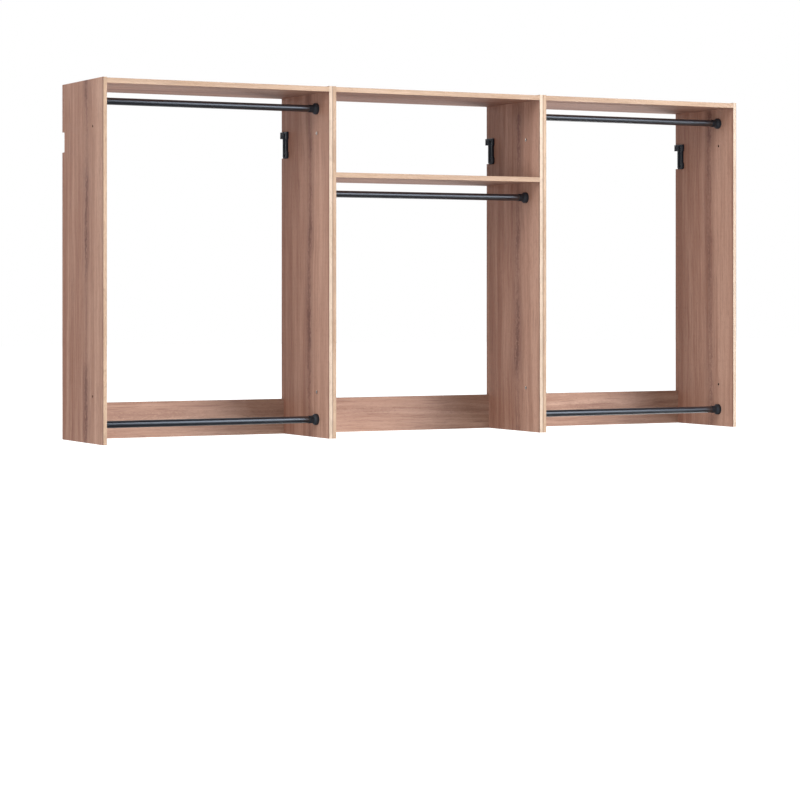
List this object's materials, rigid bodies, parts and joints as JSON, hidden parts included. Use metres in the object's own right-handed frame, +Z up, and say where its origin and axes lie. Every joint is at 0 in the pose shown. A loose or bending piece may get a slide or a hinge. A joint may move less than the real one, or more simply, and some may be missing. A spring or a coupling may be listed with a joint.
{
  "type": "wall mounted closet system",
  "caption": "Open wall-hung closet row: side panels, shelves, back rails and free-turning hanging rods in closed sockets, hung from a wall rail by hooked brackets.",
  "frame": {"origin": "on the wall plane, half way along the row, on the line where the hanging brackets bear on the wall rail's top edge", "axes": "+X to the right along the row as seen from the room, +Y towards the wall, +Z up"},
  "size_m": [2.3242, 0.3556, 1.1176],
  "materials": {
    "wood_look_laminate": "particle board under a wood-look melamine film, pinkish brown, satin",
    "edge_tape": "thin cream to tan edge tape, satin",
    "black_tube": "steel tube, gloss black",
    "black_plastic": "moulded nylon, matte black",
    "black_painted_metal": "die-cast metal, matte black paint",
    "black_screws": "steel screws, blackened",
    "plated_steel": "bright nickel or zinc plate"
  },
  "bodies": {
    "units": {"bracket_screws": "black_screws", "cam_bolts": "plated_steel", "cam_locks": "plated_steel", "left_lower_rod_left_socket": "black_plastic", "left_lower_rod_right_socket": "black_plastic", "left_unit_back_rail": "wood_look_laminate", "left_unit_left_hanging_bracket": "black_painted_metal", "left_unit_left_panel": "wood_look_laminate", "left_unit_left_panel_edge_tape": "edge_tape", "left_unit_right_hanging_bracket": "black_painted_metal", "left_unit_right_panel": "wood_look_laminate", "left_unit_right_panel_edge_tape": "edge_tape", "left_unit_top_shelf": "wood_look_laminate", "left_unit_top_shelf_edge_tape": "edge_tape", "left_upper_rod_left_socket": "black_plastic", "left_upper_rod_right_socket": "black_plastic", "middle_rod_left_socket": "black_plastic", "middle_rod_right_socket": "black_plastic", "middle_unit_back_rail": "wood_look_laminate", "middle_unit_left_hanging_bracket": "black_painted_metal", "middle_unit_left_panel": "wood_look_laminate", "middle_unit_left_panel_edge_tape": "edge_tape", "middle_unit_middle_shelf": "wood_look_laminate", "middle_unit_middle_shelf_edge_tape": "edge_tape", "middle_unit_right_hanging_bracket": "black_painted_metal", "middle_unit_right_panel": "wood_look_laminate", "middle_unit_right_panel_edge_tape": "edge_tape", "middle_unit_top_shelf": "wood_look_laminate", "middle_unit_top_shelf_edge_tape": "edge_tape", "right_lower_rod_left_socket": "black_plastic", "right_lower_rod_right_socket": "black_plastic", "right_unit_back_rail": "wood_look_laminate", "right_unit_left_hanging_bracket": "black_painted_metal", "right_unit_left_panel": "wood_look_laminate", "right_unit_left_panel_edge_tape": "edge_tape", "right_unit_right_hanging_bracket": "black_painted_metal", "right_unit_right_panel": "wood_look_laminate", "right_unit_right_panel_edge_tape": "edge_tape", "right_unit_top_shelf": "wood_look_laminate", "right_unit_top_shelf_edge_tape": "edge_tape", "right_upper_rod_left_socket": "black_plastic", "right_upper_rod_right_socket": "black_plastic", "unit_link_bolts": "plated_steel", "unit_link_nuts": "plated_steel"},
    "left_upper_rod": {"left_upper_rod": "black_tube"},
    "left_lower_rod": {"left_lower_rod": "black_tube"},
    "middle_rod": {"middle_rod": "black_tube"},
    "right_upper_rod": {"right_upper_rod": "black_tube"},
    "right_lower_rod": {"right_lower_rod": "black_tube"}
  },
  "joints": [
    {"name": "left_upper_rod_turn", "type": "hinge", "parent": "units", "child": "left_upper_rod", "pos_m": [-0.7747, -0.2667, 0.08313], "axis": [1, 0, 0], "continuous": true},
    {"name": "left_lower_rod_turn", "type": "hinge", "parent": "units", "child": "left_lower_rod", "pos_m": [-0.7747, -0.2667, -0.9096], "axis": [1, 0, 0], "continuous": true},
    {"name": "middle_rod_turn", "type": "hinge", "parent": "units", "child": "middle_rod", "pos_m": [0, -0.2667, -0.18775], "axis": [1, 0, 0], "continuous": true},
    {"name": "right_upper_rod_turn", "type": "hinge", "parent": "units", "child": "right_upper_rod", "pos_m": [0.7747, -0.2667, 0.08313], "axis": [1, 0, 0], "continuous": true},
    {"name": "right_lower_rod_turn", "type": "hinge", "parent": "units", "child": "right_lower_rod", "pos_m": [0.7747, -0.2667, -0.9096], "axis": [1, 0, 0], "continuous": true}
  ]
}
